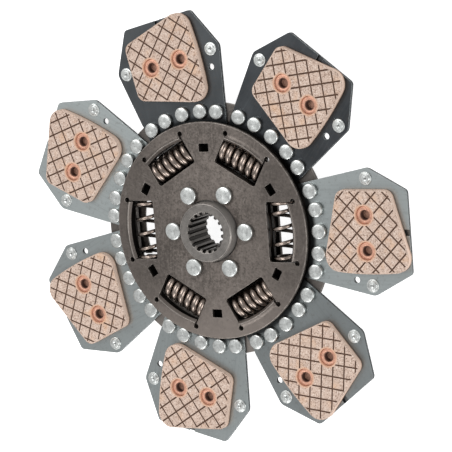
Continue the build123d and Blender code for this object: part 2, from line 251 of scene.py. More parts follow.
def begin_material(name, *painted):
    """An empty material, its node tree, the Object coordinates, and what paint() stored in the
    piece under those names."""
    material = bpy.data.materials.new(name)
    material.use_nodes = True
    tree = material.node_tree
    tree.nodes.clear()
    found = [add(tree, "ShaderNodeTexCoord")["Object"]]
    for mark in painted:
        stored = add(tree, "ShaderNodeAttribute", attribute_name=mark)
        found.append(stored["Vector" if mark == "along" else "Fac"])
    return material, tree, *found


def end_material(material, body, metallic, roughness, relief, more=None):
    """Ends a material in one Principled shader. Its relief is layers of height, strength and
    depth in millimetres, the lowest first."""
    tree = material.node_tree
    finish = {
        "Base Color": body,
        "Metallic": worked_out(tree, metallic),
        "Roughness": worked_out(tree, roughness),
        **(more or {}),
    }
    for height, strength, depth in relief:
        layer = {"Height": height, "Strength": strength, "Distance": depth * MM}
        if "Normal" in finish:
            layer["Normal"] = finish["Normal"]
        finish["Normal"] = add(tree, "ShaderNodeBump", layer)["Normal"]
    shader = add(tree, "ShaderNodeBsdfPrincipled", finish)["BSDF"]
    add(tree, "ShaderNodeOutputMaterial", [shader])
    return material


def mottling(tree, place, size_mm, detail=3.0, roughness=0.55, stretch=None, turn=None):
    """Clouds of that size, with that much fine detail and roughness, turned about Z and then
    stretched if asked."""
    if turn is not None:
        turned = {"Vector": place, "Angle": math.radians(turn)}
        place = add(tree, "ShaderNodeVectorRotate", turned, rotation_type="Z_AXIS")["Vector"]
    if stretch is not None:
        place = add(tree, "ShaderNodeMapping", {"Vector": place, "Scale": stretch})["Vector"]
    clouds = {"Vector": place, "Scale": per_mm(size_mm), "Detail": detail, "Roughness": roughness}
    return add(tree, "ShaderNodeTexNoise", clouds)["Fac"]


def shade(base, factor):
    """A darker or lighter neighbour of a linear colour."""
    return tuple(min(1.0, channel * factor) for channel in base)


def coated(tree, base, first, *coats):
    """A first tint with coats over it, each a tint and the rule for how much of it shows. A tint
    is a colour or an output, or a number for a darker or lighter shade of the base."""

    def mixable(tint):
        tint = shade(base, tint) if isinstance(tint, float) else tint
        return tint if isinstance(tint, bpy.types.NodeSocket) else (*tint, 1.0)

    body = mixable(first)
    for tint, rule in coats:
        mixed = {0: worked_out(tree, rule), 6: body, 7: mixable(tint)}
        body = add(tree, "ShaderNodeMix", mixed, data_type="RGBA")[2]
    return body


def bore_distance(tree, place):
    """Distance from the bore axis, in metres."""
    level = (1.0, 1.0, 0.0)
    flat = add(tree, "ShaderNodeVectorMath", [place, level], operation="MULTIPLY")["Vector"]
    return add(tree, "ShaderNodeVectorMath", [flat], operation="LENGTH")["Value"]


def upright_share(tree):
    """1 on faces along the bore axis, such as the sheared side of a sheet, and 0 on level ones."""
    facing = add(tree, "ShaderNodeNewGeometry")["True Normal"]
    spaces = {"convert_from": "WORLD", "convert_to": "OBJECT"}
    facing = add(tree, "ShaderNodeVectorTransform", [facing], **spaces)["Vector"]
    upward = add(tree, "ShaderNodeSeparateXYZ", [facing])["Z"]
    return (("ABSOLUTE", upward), 0.3, 0.6, 1.0, 0.0)


def scratches(tree, place, turn):
    """Sparse fine scratches along one direction, in patches."""
    line = mottling(tree, place, 0.6, 1.0, stretch=(1.0, 0.04, 1.0), turn=turn)
    patch = mottling(tree, place, 9, 2.0)
    return ((line, 0.64, 0.72), "*", (patch, 0.5, 0.64))


def phosphated_plate(name, base, damper, rough=0.46):
    """Pressed steel plate under manganese phosphate and oil: a brown-grey, softly glossy skin,
    mottled by the oil, with handling scratches and bare bright edges. Painted shade darkens its
    inside and its two sides, a painted reflection lightens its bottom, and painted highlights
    brighten the lips' free edges."""
    material, tree, place, edge = begin_material(name, "worn")
    worn = damper.worn_colour
    oil = mottling(tree, place, 38, 4.0)
    cloud = mottling(tree, place, 6, 4.0, 0.65)
    rolled = mottling(tree, place, 1.6, stretch=(1.0, 0.06, 1.0), turn=6)
    mottle = mottling(tree, place, 1.8, roughness=0.75)
    grain = mottling(tree, place, 0.45, 2.0)
    across = add(tree, "ShaderNodeSeparateXYZ", [place])
    level = across["Z"]
    reach = bore_distance(tree, place)
    marks = ("MAXIMUM", scratches(tree, place, 25), scratches(tree, place, 112))
    below = (level, COVER_INSIDE * MM, (COVER_TOP - 0.6) * MM, 1.0, 0.0)
    above = (level, (COVER_REAR + 0.3) * MM, COVER_REAR_INSIDE * MM)
    under = (reach, (COVER_RADIUS + 0.2) * MM, (COVER_RADIUS + 1.2) * MM, 1.0, 0.0)
    off_lips = ("MAXIMUM", (reach, *SHADE_ENDS, 1.0, 0.0), (reach, *SHADE_BEGINS))
    height = ("ABSOLUTE", (level, "-", SPRING_LEVEL * MM))
    body = coated(
        tree,
        base,
        0.66,
        (1.28, (oil, 0.35, 0.65)),
        (1.5, (cloud, 0.5, 0.72, 0.0, 0.7)),
        (1.6, (rolled, 0.45, 0.66, 0.0, 0.35)),
        (0.5, (mottle, 0.3, 0.5, 0.8, 0.0)),
        (1.8, (mottle, 0.52, 0.7, 0.0, 0.7)),
        # Painted shade darkens the two sides of the disc, and a painted reflection lightens the
        # bottom
        (0.62, (("ABSOLUTE", across["X"]), 22 * MM, 66 * MM, 0.0, 0.6)),
        (1.6, (across["Y"], -86 * MM, -40 * MM, 0.9, 0.0)),
        (worn, (marks, "*", 0.35)),
        (worn, (edge, "*", (cloud, 0.4, 0.62, 0.1, 0.7))),
        # Painted shade inside the damper, within the cover's rim and off the lips
        (damper.shade_colour, (((below, "*", above), "*", under), "*", off_lips)),
        # A painted highlight in the bare steel colour brightens the free edge of each lip
        (worn, (height, *LIP_HIGHLIGHT, 0.0, 0.55)),
    )
    gloss = (mottle, 0.3, 0.7, rough - 0.1, rough + 0.12)
    return end_material(material, body, 0.85, gloss, [(grain, 0.35, 0.06), (mottle, 0.2, 0.12)])


def turned_steel(name, damper):
    """Hub of case-hardened steel, faced on a lathe: fine rings round the bore that catch the
    light, mottled by quench oil, darkened in the splines by old grease and painted shade, and with
    painted light on its upright outer walls."""
    material, tree, place, edge = begin_material(name, "worn")
    base = damper.hub_colour
    faced = {"Vector": place, "Scale": per_mm(4.4), "Distortion": 1.2, "Detail": 2.0}
    faced["Detail Scale"] = 4.0
    about = {"wave_type": "RINGS", "rings_direction": "Z"}
    rings = add(tree, "ShaderNodeTexWave", faced, **about)["Fac"]
    oil = mottling(tree, place, 11, 4.0)
    mottle = mottling(tree, place, 2.0, roughness=0.7)
    grain = mottling(tree, place, 0.5, 2.0)
    level = add(tree, "ShaderNodeSeparateXYZ", [place])["Z"]
    reach = bore_distance(tree, place)
    # Old grease and painted shade darken the spline grooves and leave the lands, down to just
    # under the face
    lands = (reach, (LAND_RADIUS + 0.1) * MM, (LAND_RADIUS + 1.3) * MM, 0.62, 0.96)
    bore = (reach, (BORE_RADIUS + 0.1) * MM, (BORE_RADIUS + 0.6) * MM, 1.0, 0.0)
    below = (level, (HUB_TOP - 0.8) * MM, (HUB_TOP - 0.1) * MM, 1.0, 0.0)
    # The outside of the boss keeps its dull phosphate skin, which scatters more of the light, and
    # its upright walls carry painted light
    outside = (reach, (BORE_RADIUS + 1) * MM, (BORE_RADIUS + 3) * MM)
    skin = worked_out(tree, (upright_share(tree), "*", outside))
    body = coated(
        tree,
        base,
        0.78,
        (1.15, (oil, 0.35, 0.65)),
        (0.6, (mottle, 0.32, 0.52, 0.5, 0.0)),
        (1.45, (rings, 0.3, 1.0, 0.0, 0.22)),
        (damper.worn_colour, (edge, "*", (oil, 0.4, 0.6, 0.4, 1.0))),
        (damper.shade_colour, ((lands, "*", bore), "*", below)),
        (1.25, skin),
    )
    metal = (skin, 0.0, 1.0, 0.9, 0.25)
    gloss = (mottle, 0.3, 0.7, 0.32, 0.48)
    return end_material(material, body, metal, gloss, [(rings, 0.2, 0.05), (grain, 0.25, 0.04)])


def spring_strip(name, paddles):
    """Cold-rolled spring-steel strip: a hard satin sheet with straight rolling lines along the
    paddle. Its colour runs from a dark to a light tone as a painted reflection set per strip, with
    painted shade on its sheared sides and a painted shadow under the cover's rim."""
    material, tree, place, along, reflection_tone, edge = begin_material(name, "along", "reflection_tone", "worn")
    dark, light = paddles.dark_reflection_colour, paddles.light_reflection_colour
    rolling = mottling(tree, along, 1.6, 4.0, 0.7, stretch=(1.0, 0.03, 1.0))
    cloud = mottling(tree, place, 24)
    stain = mottling(tree, place, 3, 4.0, 0.7)
    rubbed = coated(tree, dark, 1.6, (shade(light, 0.66), reflection_tone))
    body = coated(
        tree,
        dark,
        1.0,
        (light, reflection_tone),
        (rubbed, (cloud, 0.35, 0.68, 0.0, 0.4)),
        (rubbed, (rolling, 0.48, 0.7, 0.0, 0.4)),
        (linear("#5b5049"), (stain, 0.56, 0.75, 0.0, 0.4)),
        (linear("#9fa5a6"), (edge, "*", (reflection_tone, 0.0, 1.0, 0.75, 0.1))),
        # Painted shade darkens the sheared sides, and a painted shadow darkens the strip
        # under the cover's rim
        (0.5, (upright_share(tree), "*", 0.75)),
        (0.15, (bore_distance(tree, place), 90 * MM, 92.5 * MM, 0.85, 0.0)),
    )
    return end_material(material, body, 0.92, (cloud, 0.3, 0.7, 0.28, 0.4), [(rolling, 0.1, 0.03)])


def zinc_plate(name, base):
    """Cold-headed rivet under bright zinc: a pale blue-white metal with the die's fine rings on
    its crown and small dull handling marks."""
    material, tree, place, shade_and_grime = begin_material(name, "shade_and_grime")
    around = add(tree, "ShaderNodeUVMap", uv_map="turn")["UV"]
    rings = mottling(tree, around, 0.5, 2.0, stretch=(0.0015, 1.0, 1.0))
    dull = mottling(tree, place, 2.4, 4.0)
    dents = mottling(tree, place, 4.0, 2.0)
    # Painted shade, with grime on the rim rivets, darkens what the profile marks
    body = coated(tree, base, 1.0, (0.58, (dull, 0.4, 0.66)), (0.16, (shade_and_grime, "*", 0.85)))
    # The rings run round the head, so its highlight spreads out from the middle
    tangent = add(tree, "ShaderNodeTangent", direction_type="UV_MAP", uv_map="turn")["Tangent"]
    sheen = {"Anisotropic": 0.35, "Anisotropic Rotation": 0.25, "Tangent": tangent}
    relief = [(rings, 0.15, 0.04), (dents, 0.3, 0.4)]
    return end_material(material, body, 1.0, (dull, 0.35, 0.7, 0.28, 0.44), relief, sheen)


def oiled_wire(name, base):
    """Oil-tempered spring wire, shot peened and oiled: dark brown steel with a long soft
    highlight on each coil and a fine dimpled skin."""
    material, tree, place, shade_and_grime = begin_material(name, "shade_and_grime")
    cloud = mottling(tree, place, 6)
    peened = {"Vector": place, "Scale": per_mm(0.7)}
    dimples = add(tree, "ShaderNodeTexVoronoi", peened, feature="SMOOTH_F1")["Distance"]
    level = add(tree, "ShaderNodeSeparateXYZ", [place])["Z"]
    body = coated(
        tree,
        base,
        0.75,
        (1.15, (cloud, 0.35, 0.65)),
        # Painted shade darkens the lower half of each coil
        (0.08, (level, (SPRING_LEVEL - 3) * MM, (SPRING_LEVEL + 5) * MM, 0.95, 0.0)),
        # Painted shade darkens the nested coils
        (0.05, (shade_and_grime, "*", 0.92)),
    )
    return end_material(material, body, 1.0, (cloud, 0.3, 0.7, 0.22, 0.32), [(dimples, 0.1, 0.03)])


def sintered_bronze(name, paddles):
    """Sintered bronze-iron friction lining: a dry, matt, pinkish tan body full of grit, with
    pressed grooves whose floors carry painted shade, painted light on its sides and copper smeared
    round its rivets."""
    material, tree, place, along, shade_and_grime, foot = begin_material(name, "along", "shade_and_grime", "rim")
    base = paddles.lining_colour
    cloud = mottling(tree, place, 15)
    fine = mottling(tree, place, 0.7, 4.0, 0.75)
    stain = mottling(tree, place, 13, 2.0)
    cells = add(tree, "ShaderNodeTexVoronoi", {"Vector": place, "Scale": per_mm(0.75)})["Color"]
    grains = add(tree, "ShaderNodeSeparateColor", [cells])["Red"]
    # Each lining has two rivets, mirrored about the paddle's middle
    rivet = (PAD_OFFSET * MM, PAD_REACH * MM, 0.0)
    half = add(tree, "ShaderNodeVectorMath", [along], operation="ABSOLUTE")["Vector"]
    away = add(tree, "ShaderNodeVectorMath", [half, rivet], operation="SUBTRACT")["Vector"]
    body = coated(
        tree,
        base,
        0.95,
        (1.05, (cloud, 0.35, 0.65)),
        (0.62, (fine, 0.42, 0.7, 0.0, 0.6)),
        (paddles.grit_colour, (grains, 0.78, 0.84, 0.0, 0.65)),
        (linear("#f6eadf"), (grains, 0.16, 0.1, 0.0, 0.35)),
        (linear("#d8ab84"), (stain, 0.55, 0.75, 0.0, 0.4)),
        # Painted light makes its sides paler, and it has a browned foot
        (1.5, upright_share(tree)),
        (linear("#a07a5e"), (foot, "*", 0.2)),
        (linear("#d49d78"), (bore_distance(tree, away), 6.6 * MM, 9.2 * MM, 0.8, 0.0)),
        # Painted shade darkens the floors of the grooves
        (paddles.groove_colour, (shade_and_grime, 0.0, 0.9)),
    )
    relief = [(fine, 0.5, 0.18), (grains, 0.25, 0.12)]
    return end_material(material, body, 0.0, 0.82, relief, {"Specular IOR Level": 0.25})


def copper_metal(name, base, rough):
    """Annealed copper: warm, soft and semi-matt, browned by handling and the sintering oven."""
    material, tree, place, shade_and_grime = begin_material(name, "shade_and_grime")
    brown = mottling(tree, place, 2.4, 4.0)
    # Painted shade darkens the bore of each tubular rivet
    body = coated(tree, base, 1.0, (0.7, (brown, 0.38, 0.7)), (linear("#3c2118"), shade_and_grime))
    metal = (shade_and_grime, 0.0, 1.0, 0.6, 0.15)
    rough = (shade_and_grime, 0.0, 1.0, rough, 0.85)
    return end_material(material, body, metal, rough, [(brown, 0.3, 0.1)])


def moulded_friction(name):
    """Moulded organic friction ring: matt, dark brown, with pale fibre flecks."""
    material, tree, place = begin_material(name)
    fibre = mottling(tree, place, 0.8, stretch=(1.0, 0.3, 1.0))
    cloud = mottling(tree, place, 5)
    body = coated(
        tree,
        linear("#2d2622"),
        1.0,
        (linear("#3d342d"), (cloud, 0.4, 0.6)),
        (linear("#7a6a52"), (fibre, 0.62, 0.74, 0.0, 0.6)),
    )
    return end_material(material, body, 0.0, 0.8, [(fibre, 0.3, 0.08)])


# Mesh making


def linked(name, data):
    """A new object in the scene."""
    made = bpy.data.objects.new(name, data)
    bpy.context.scene.collection.objects.link(made)
    return made


def coat_mesh(mesh, material):
    """Gives a mesh that one material."""
    mesh.materials.clear()
    mesh.materials.append(material)


def dress(node, name, mesh, material):
    """A finished piece that stands for a CAD node, with its place in its mesh."""
    piece = linked(name, mesh)
    coat_mesh(mesh, material)
    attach(piece, HOME[node])
    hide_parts(node)
    return piece


def smooth(mesh, corner):
    """Shades a mesh smooth, apart from corners of more than that many degrees."""
    mesh.shade_smooth()
    mesh.set_sharp_from_angle(angle=math.radians(corner))


def freed_mesh(name, shape, corner):
    """The smooth mesh of a bmesh, which is freed."""
    mesh = bpy.data.meshes.new(name)
    shape.to_mesh(mesh)
    shape.free()
    smooth(mesh, corner)
    return mesh


def paint(mesh, name, values, domain="POINT"):
    """Stores a number or a vector for each point or face, for a material to read."""
    if isinstance(values[0], float):
        mesh.attributes.new(name, "FLOAT", domain).data.foreach_set("value", values)
    else:
        flat = [number for value in values for number in value]
        mesh.attributes.new(name, "FLOAT_VECTOR", domain).data.foreach_set("vector", flat)


def evaluated_mesh(source):
    """The plain mesh that an object's modifiers give. The object is removed."""
    bpy.context.view_layer.update()
    graph = bpy.context.evaluated_depsgraph_get()
    mesh = bpy.data.meshes.new_from_object(
        source.evaluated_get(graph), preserve_all_data_layers=True, depsgraph=graph
    )
    old = source.data
    bpy.data.objects.remove(source)
    if old.users == 0:
        bpy.data.meshes.remove(old)
    return mesh


def joined_skin(node, join_flat=True):
    """A CAD node's triangles merged to one skin, its flat faces joined to polygons if asked."""
    merge_distance = 0.5e-6
    flat = math.radians(0.4)
    skin = bmesh.new()
    skin.from_mesh(frame["nodes"][node].data)
    bmesh.ops.remove_doubles(skin, verts=skin.verts, dist=merge_distance)
    if join_flat:
        bmesh.ops.dissolve_limit(skin, angle_limit=flat, verts=skin.verts, edges=skin.edges)
    skin.verts.index_update()
    points = [vert.co.copy() for vert in skin.verts]
    faces = [[vert.index for vert in face.verts] for face in skin.faces]
    skin.free()
    mesh = bpy.data.meshes.new(node)
    mesh.from_pydata(points, [], faces)
    return mesh


def eased_mesh(node, width, corner=28, change=None):
    """A CAD node's shape with every corner sharper than that many degrees eased, and the eased
    strips marked worn. A change is a function that moves the points of the shape first."""
    mesh = joined_skin(node)
    if change:
        for vert in mesh.vertices:
            vert.co = change(vert.co / MM) * MM
        mesh.update()
    source = linked(node + "_work", mesh)
    for slot in ("body", "edge"):
        mesh.materials.append(bpy.data.materials.new(slot))
    mesh.shade_smooth()
    ease = source.modifiers.new("ease", "BEVEL")
    ease.width = width
    ease.segments = 2
    ease.limit_method = "ANGLE"
    ease.angle_limit = math.radians(corner)
    ease.use_clamp_overlap = False
    ease.loop_slide = False
    ease.miter_outer = "MITER_ARC"
    ease.material = 1
    source.modifiers.new("normals", "WEIGHTED_NORMAL").keep_sharp = True
    made = evaluated_mesh(source)
    paint(made, "worn", [float(face.material_index == 1) for face in made.polygons], "FACE")
    for face in made.polygons:
        face.material_index = 0
    return made


def steeper_lip(point):
    """Bends the free edge of a front window's lip further up, as in the photograph."""
    reach = math.hypot(point.x, point.y)
    height = point.z - SPRING_LEVEL
    for (old_reach, old_height), (new_reach, new_height) in LIP_CORNERS:
        if abs(reach - old_reach) < LIP_MATCH and abs(height - old_height) < LIP_MATCH:
            scale = new_reach / reach
            return Vector((point.x * scale, point.y * scale, SPRING_LEVEL + new_height))
    return point


def shallow_lead_in(point):
    """Brings the spline teeth up to just under the hub's front face."""
    reach = math.hypot(point.x, point.y)
    if reach < BORE_RADIUS + 0.6 and point.z > HUB_TOP - 4:
        return Vector((point.x, point.y, HUB_TOP - (HUB_TOP - point.z) * 0.3))
    return point


def lathe(profile, segments):
    """A turned shape from (radius, level) or (radius, level, darkness) points in millimetres, with
    a
    UV map that runs round it and along its profile, and each ring's painted shade and grime
    stored."""
    shape = bmesh.new()
    turn = shape.loops.layers.uv.new("turn")
    dark = shape.verts.layers.float.new("shade_and_grime")
    rings = []
    run = [0.0]
    for before, after in zip(profile, profile[1:]):
        run.append(run[-1] + math.dist(before[:2], after[:2]) * MM)
    for radius, level, *shade_and_grime in profile:
        at_pole = radius < 1e-6
        ring = []
        for step in range(1 if at_pole else segments):
            x, y = around_axis(radius, 0, 360 * step / segments)
            ring.append(shape.verts.new(Vector((x, y, level)) * MM))
            ring[-1][dark] = sum(shade_and_grime)
        rings.append(ring * segments if at_pole else ring)
    for row in range(len(profile) - 1):
        for step in range(segments):
            after = (step + 1) % segments
            corners = {}
            for vert, around, along in (
                (rings[row][step], step, row),
                (rings[row + 1][step], step, row + 1),
                (rings[row + 1][after], step + 1, row + 1),
                (rings[row][after], step + 1, row),
            ):
                # At a pole two corners share a point, and the first one counts
                corners.setdefault(vert, (around / segments, run[along]))
            face = shape.faces.new(list(corners))
            for loop, place in zip(face.loops, corners.values()):
                loop[turn].uv = place
    bmesh.ops.recalc_face_normals(shape, faces=shape.faces)
    return freed_mesh("rivet", shape, 40)


def arc(centre, radius, start, end, steps):
    """Points of an arc in a profile, in millimetres, from one angle to another."""
    points = []
    for step in range(steps + 1):
        x, y = around_axis(radius, 0, start + (end - start) * step / steps)
        points.append((centre[0] + x, centre[1] + y))
    return points


def mirrored(upper):
    """The lower half of a profile whose two ends are alike."""
    return [(radius, -level, *shade_and_grime) for radius, level, *shade_and_grime in reversed(upper)]


def headed_profile(shank, low, high, grime, head, head_height, tail, tail_height):
    """Profile of a rivet with a flattened dome on top and a flat-topped tail, from the tail up.
    Grime is the least darkness of its skin, and painted shade makes the seat under its head
    darkest."""
    end = low - tail_height
    top = high + head_height
    profile = [(0, end), (tail * 0.6, end), *arc((tail - 0.9, end + 1.5), 0.9, -60, 0, 5)]
    profile += [(tail, low - 0.25), (tail - 0.25, low), (shank, low), (shank, high)]
    profile += [(head - 0.3, high, 1.0), (head - 0.06, high + 0.25, 0.9)]
    profile += [(head, high + head_height * 0.5, 0.35)]
    profile += arc((head - 1.1, top - 1.25), 1.1, 10, 70, 6)
    profile += [(head * 0.84 - 0.3, top - 0.12), (head * 0.66, top - 0.03), (head * 0.42, top)]
    profile += [(head * 0.2, top - 0.05), (0, top - 0.12)]
    return [(radius, level, max([grime, *shade_and_grime])) for radius, level, *shade_and_grime in profile]


# Geometry Nodes


def begin_grower(name, sockets):
    """A Geometry Nodes tree with those inputs, their identifiers and their outputs in the tree."""
    tree = bpy.data.node_groups.new(name, "GeometryNodeTree")
    new_socket = tree.interface.new_socket
    inputs = {
        label: new_socket(name=label, in_out="INPUT", socket_type="NodeSocket" + kind).identifier
        for label, kind in sockets.items()
    }
    new_socket(name="Grown", in_out="OUTPUT", socket_type="NodeSocketGeometry")
    return tree, inputs, add(tree, "NodeGroupInput")


def end_grower(tree, grown, finish):
    """Ends the tree in plain geometry with its material."""
    real = add(tree, "GeometryNodeRealizeInstances", {"Geometry": grown})["Geometry"]
    coat = {"Geometry": real, "Material": finish}
    add(tree, "NodeGroupOutput", [add(tree, "GeometryNodeSetMaterial", coat)["Geometry"]])


def rivets_tree():
    """One rivet on each seat point, turned at random about its own axis and leaning a little."""
    sizes = {"Lean": "Float", "Seed": "Int"}
    sockets = {"Seats": "Geometry", "Rivet": "Object", "Finish": "Material", **sizes}
    tree, inputs, given = begin_grower("rivets_on_seats", sockets)
    shape = add(tree, "GeometryNodeObjectInfo", {"Object": given["Rivet"]})["Geometry"]
    lean = given["Lean"]
    least = worked_out(tree, (lean, "*", -1.0))
    low = add(tree, "ShaderNodeCombineXYZ", [least, least, 0.0])["Vector"]
    high = add(tree, "ShaderNodeCombineXYZ", [lean, lean, 2 * math.pi])["Vector"]
    draw = {0: low, 1: high, "Seed": given["Seed"]}
    turn = add(tree, "FunctionNodeRandomValue", draw, data_type="FLOAT_VECTOR")[0]
    seated = {"Points": given["Seats"], "Instance": shape, "Rotation": turn}
    rivets = add(tree, "GeometryNodeInstanceOnPoints", seated)["Instances"]
    end_grower(tree, rivets, given["Finish"])
    return tree, inputs


def spring_tree():
    """A compression spring along Z, its end turns closed and ground flat."""
    sockets = {**dict.fromkeys(SPRING_SIZES, "Float"), "Steps": "Int", "Wire sides": "Int"}
    sockets.update({"Place": "Vector", "Turned": "Vector", "Finish": "Material"})
    tree, inputs, given = begin_grower("compression_spring", sockets)
    half, mean, thick, turns, closed, hand = (given[label] for label in SPRING_SIZES)
    index = add(tree, "GeometryNodeInputIndex")["Index"]
    share = (index, "/", (given["Steps"], "-", 1.0))
    turn = worked_out(tree, (share, "*", turns))
    angle = worked_out(tree, (turn, "*", 2 * math.pi))
    # The closed turns climb by a wire's width each, and the rest share what is left
    tip = worked_out(tree, (half, "-", (thick, "*", 0.35)))
    climb = worked_out(tree, (thick, "*", 2.0))
    open_rise = ((tip, "*", 2.0), "-", ((closed, "*", climb), "*", 2.0))
    pitch = (open_rise, "/", (turns, "-", (closed, "*", 2.0)))
    first = worked_out(tree, ("MINIMUM", turn, closed))
    last = worked_out(tree, ("MAXIMUM", (turn, "-", (turns, "-", closed)), 0.0))
    middle = ((turn, "-", first), "-", last)
    risen = (((first, "+", last), "*", climb), "+", (middle, "*", pitch))
    across = (("COSINE", angle), "*", mean)
    beside = (("SINE", angle), "*", (mean, "*", hand))
    helix = (across, beside, (risen, "-", tip))
    point = add(tree, "ShaderNodeCombineXYZ", [worked_out(tree, part) for part in helix])["Vector"]
    line = add(tree, "GeometryNodeMeshLine", {"Count": given["Steps"]})["Mesh"]
    bent = add(tree, "GeometryNodeSetPosition", {"Geometry": line, "Position": point})["Geometry"]
    path = add(tree, "GeometryNodeMeshToCurve", {"Mesh": bent})["Curve"]
    section = {"Resolution": given["Wire sides"], "Radius": thick}
    wire = add(tree, "GeometryNodeCurvePrimitiveCircle", section)["Curve"]
    swept = {"Curve": path, "Profile Curve": wire, "Fill Caps": True}
    coil = add(tree, "GeometryNodeCurveToMesh", swept)["Mesh"]
    # What stands past the two ends is ground away
    where = add(tree, "ShaderNodeSeparateXYZ", [add(tree, "GeometryNodeInputPosition")[0]])
    held = ("MAXIMUM", ("MINIMUM", where["Z"], half), (half, "*", -1.0))
    flat = [where["X"], where["Y"], worked_out(tree, held)]
    ground = {"Geometry": coil, "Position": add(tree, "ShaderNodeCombineXYZ", flat)["Vector"]}
    cut = add(tree, "GeometryNodeSetPosition", ground)["Geometry"]
    laid = {"Geometry": cut, "Translation": given["Place"], "Rotation": given["Turned"]}
    end_grower(tree, add(tree, "GeometryNodeTransform", laid)["Geometry"], given["Finish"])
    return tree, inputs


def grown_mesh(name, seats, tree, inputs, values):
    """The plain mesh that a Geometry Nodes tree grows from seat points."""
    mesh = bpy.data.meshes.new(name)
    mesh.from_pydata([Vector(seat) * MM for seat in seats], [], [])
    source = linked(name + "_seats", mesh)
    grower = source.modifiers.new("grow", "NODES")
    grower.node_group = tree
    for label, value in values.items():
        grower[inputs[label]] = value
    return evaluated_mesh(source)


def wound_mesh(name, half, wires, tree, inputs, laid):
    """The mesh of a spring and those nested in it, the nested ones marked for painted shade."""
    skin = bmesh.new()
    shaded = []
    for outer, radius, turns, closed, hand, sides in wires:
        sizes = (half, outer - radius, radius, turns, closed, hand)
        values = {**laid, **dict(zip(SPRING_SIZES, sizes)), "Wire sides": sides}
        values["Steps"] = int(turns * STEPS_PER_TURN)
        coil = grown_mesh(name + "_wire", [(0, 0, 0)], tree, inputs, values)
        shaded += [float(outer < wires[0][0])] * len(coil.vertices)
        skin.from_mesh(coil)
        bpy.data.meshes.remove(coil)
    mesh = freed_mesh(name, skin, 50)
    paint(mesh, "shade_and_grime", shaded)
    return mesh


# Places on the disc


def around_axis(x, y, degrees):
    """A point turned about the bore axis."""
    angle = math.radians(degrees)
    cos, sin = math.cos(angle), math.sin(angle)
    return x * cos - y * sin, x * sin + y * cos


def paddle_turn(index):
    """Turn of a paddle drawn along +Y, clockwise from the top."""
    return (2 - index) * PADDLE_PITCH - 90


def paddle_nodes(kind):
    """Each paddle's two CAD nodes of a kind, with its index and what turns them back to +Y."""
    for index in range(PADDLES):
        back = Matrix.Rotation(-math.radians(paddle_turn(index)), 3, "Z")
        for side in SIDES:
            yield side, index, back, f"{side}_{kind}_{index + 1}"


def paddle_seats(offset, reach):
    """Seats of a rivet on each side of every paddle."""
    return [
        (*around_axis(side * offset, reach, paddle_turn(index)), PADDLE_MIDDLE)
        for index in range(PADDLES)
        for side in (-1, 1)
    ]


def rivet_piece(name, node, profile, segments, seats, material=None):
    """A group of like rivets on their seats, standing for its CAD node. Without a material they
    share one zinc finish."""
    settings = bpy.context.scene.disc_rivets
    material = material or bpy.data.materials.get("bright_zinc_plate")
    material = material or zinc_plate("bright_zinc_plate", settings.zinc_colour)
    rivet = linked(name + "_shape", lathe(profile, segments))
    tree, inputs = rivets_tree()
    values = {"Rivet": rivet, "Finish": material, "Lean": settings.lean, "Seed": settings.seed}
    mesh = grown_mesh(name, seats, tree, inputs, values)
    bpy.data.objects.remove(rivet)
    bpy.data.node_groups.remove(tree)
    dress(node, name, mesh, material)


# Operators


class OBJECT_OT_cover_plates(bpy.types.Operator):
    """Dress the two damper cover plates with eased, rubbed edges"""

    bl_idname = "clutch_disc.cover_plates"
    bl_label = "Cover plates"

    def execute(self, context):
        damper = context.scene.disc_damper
        plate = phosphated_plate("phosphated_cover_steel", damper.plate_colour, damper)
        for side in SIDES:
            node = side + "_cover_plate"
            mesh = eased_mesh(node, damper.edge, corner=42, change=steeper_lip)
            dress(node, side + "_damper_cover", mesh, plate)
        return {"FINISHED"}


class OBJECT_OT_hub(bpy.types.Operator):
    """Dress the splined hub as turned and hardened steel"""

    bl_idname = "clutch_disc.hub"
    bl_label = "Splined hub"

    def execute(self, context):
        damper = context.scene.disc_damper
        steel = turned_steel("turned_hub_steel", damper)
        mesh = eased_mesh("splined_hub", damper.inner_edge, change=shallow_lead_in)
        dress("splined_hub", "turned_hub", mesh, steel)
        return {"FINISHED"}


class OBJECT_OT_carrier(bpy.types.Operator):
    """Dress the carrier disc that floats between the cover plates"""

    bl_idname = "clutch_disc.carrier"
    bl_label = "Carrier disc"

    def execute(self, context):
        damper = context.scene.disc_damper
        steel = phosphated_plate("oiled_carrier_steel", damper.carrier_colour, damper, rough=0.5)
        mesh = eased_mesh("carrier_disc", damper.inner_edge)
        dress("carrier_disc", "carrier", mesh, steel)
        return {"FINISHED"}


class OBJECT_OT_damper_springs(bpy.types.Operator):
    """Wind the six damper springs with closed and ground ends"""

    bl_idname = "clutch_disc.damper_springs"
    bl_label = "Damper springs"

    def execute(self, context):
        damper = context.scene.disc_damper
        finish = oiled_wire("oil_tempered_wire", damper.wire_colour)
        tree, inputs = spring_tree()
        outer = damper.spring_radius
        nested = outer - 2 * damper.stiff_wire - NESTED_GAP * MM
        # Outer radius, wire radius, turns, closed turns, hand and wire sides of each wire. A stiff
        # spring holds a second one wound the other way.
        windings = {
            "stiff": (
                (outer, damper.stiff_wire, 5.9, 0.62, 1.0, 22),
                (nested, damper.inner_wire, 10.5, 0.9, -1.0, 12),
            ),
            "soft": ((outer, damper.soft_wire, 5.0, 0.8, 1.0, 22),),
        }
        for kind, (half, angles) in SPRINGS.items():
            for number, angle in enumerate(angles, start=1):
                node = f"{kind}_spring_{number}"
                centre = Vector((*around_axis(SPRING_CIRCLE, 0, angle), SPRING_LEVEL)) * MM
                turned = (math.radians(90), 0.0, math.radians(angle))
                laid = {"Place": centre, "Turned": turned, "Finish": finish}
                mesh = wound_mesh(node + "_coil", half * MM, windings[kind], tree, inputs, laid)
                piece = dress(node, node + "_coil", mesh, finish)
                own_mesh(piece)
        bpy.data.node_groups.remove(tree)
        return {"FINISHED"}


